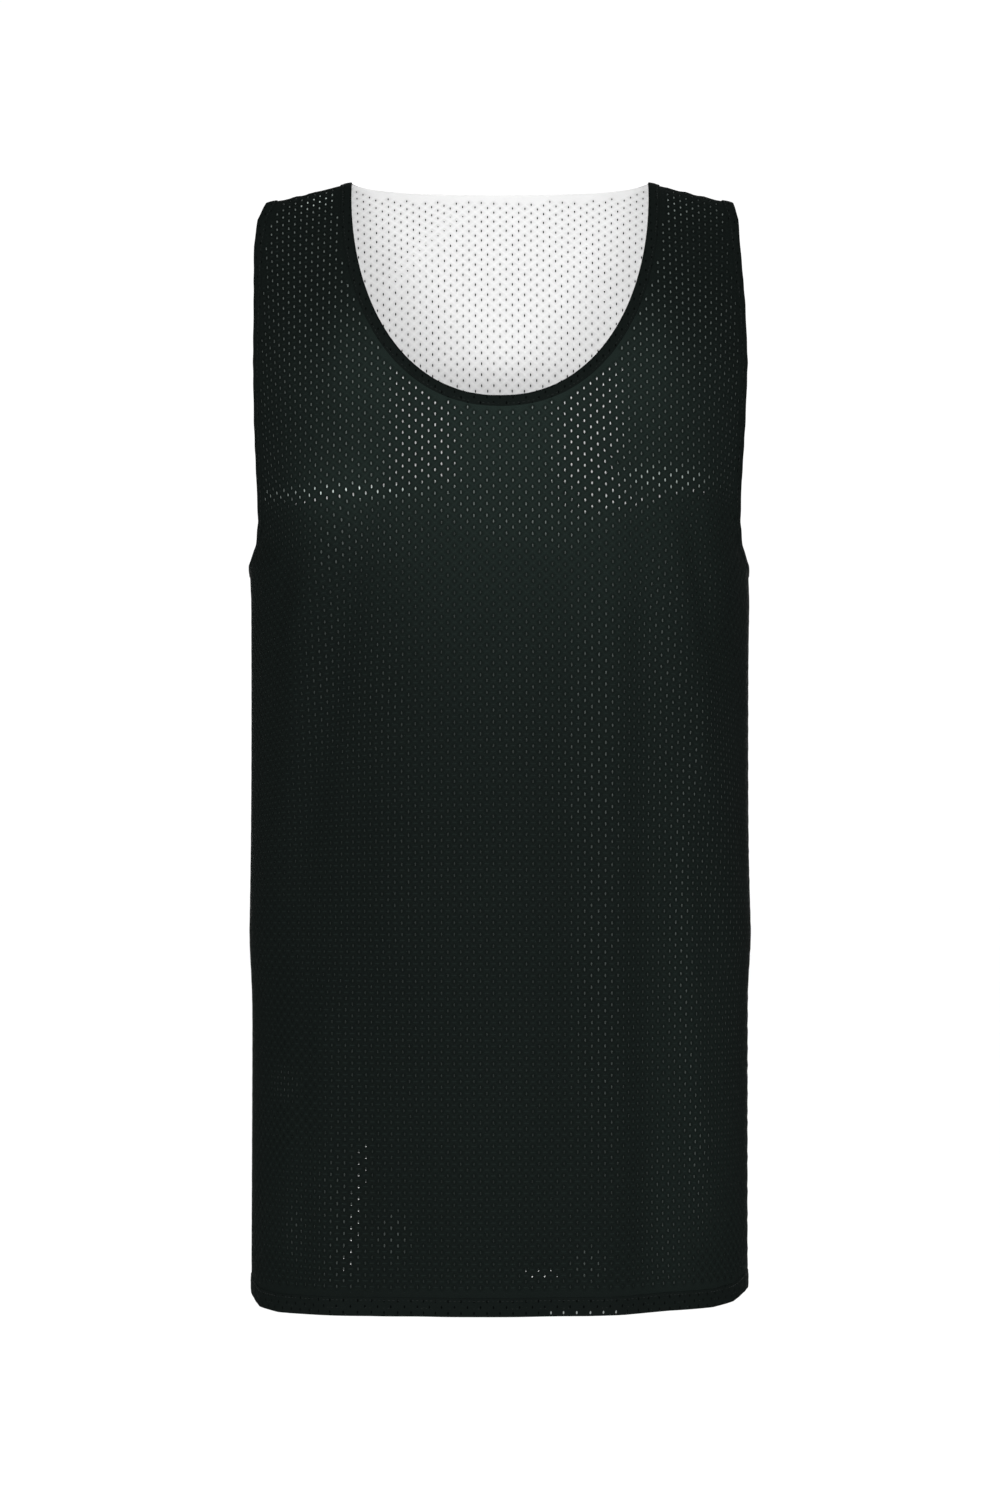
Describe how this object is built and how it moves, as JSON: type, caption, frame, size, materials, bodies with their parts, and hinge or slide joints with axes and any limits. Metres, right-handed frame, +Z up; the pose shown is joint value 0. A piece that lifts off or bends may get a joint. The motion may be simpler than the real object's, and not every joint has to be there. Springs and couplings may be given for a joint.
{
  "type": "basketball jersey",
  "caption": "Sleeveless reversible mesh basketball jersey with a deep round neck and large armholes, filled out as worn, open at neck, armholes and hem.",
  "frame": {"origin": "midway between the undersides of the two shoulder straps, where the wearer's shoulders hold the garment", "axes": "+Z up, from the hem to the shoulders; the front faces -Y; +X is the viewer's right when looking at the front"},
  "size_m": [0.3369, 0.2666, 0.7487],
  "materials": {
    "outer_mesh": "matt knitted mesh with small oval holes",
    "inner_mesh": "white knitted mesh with small oval holes",
    "turned_edge": "the dark mesh turned under and stitched"
  },
  "bodies": {
    "root": {"outer_front": "outer_mesh", "outer_back": "outer_mesh", "inner_front": "inner_mesh", "inner_back": "inner_mesh", "neck_band": "turned_edge", "armhole_band_left": "turned_edge", "armhole_band_right": "turned_edge", "hem_band": "turned_edge"}
  },
  "joints": []
}
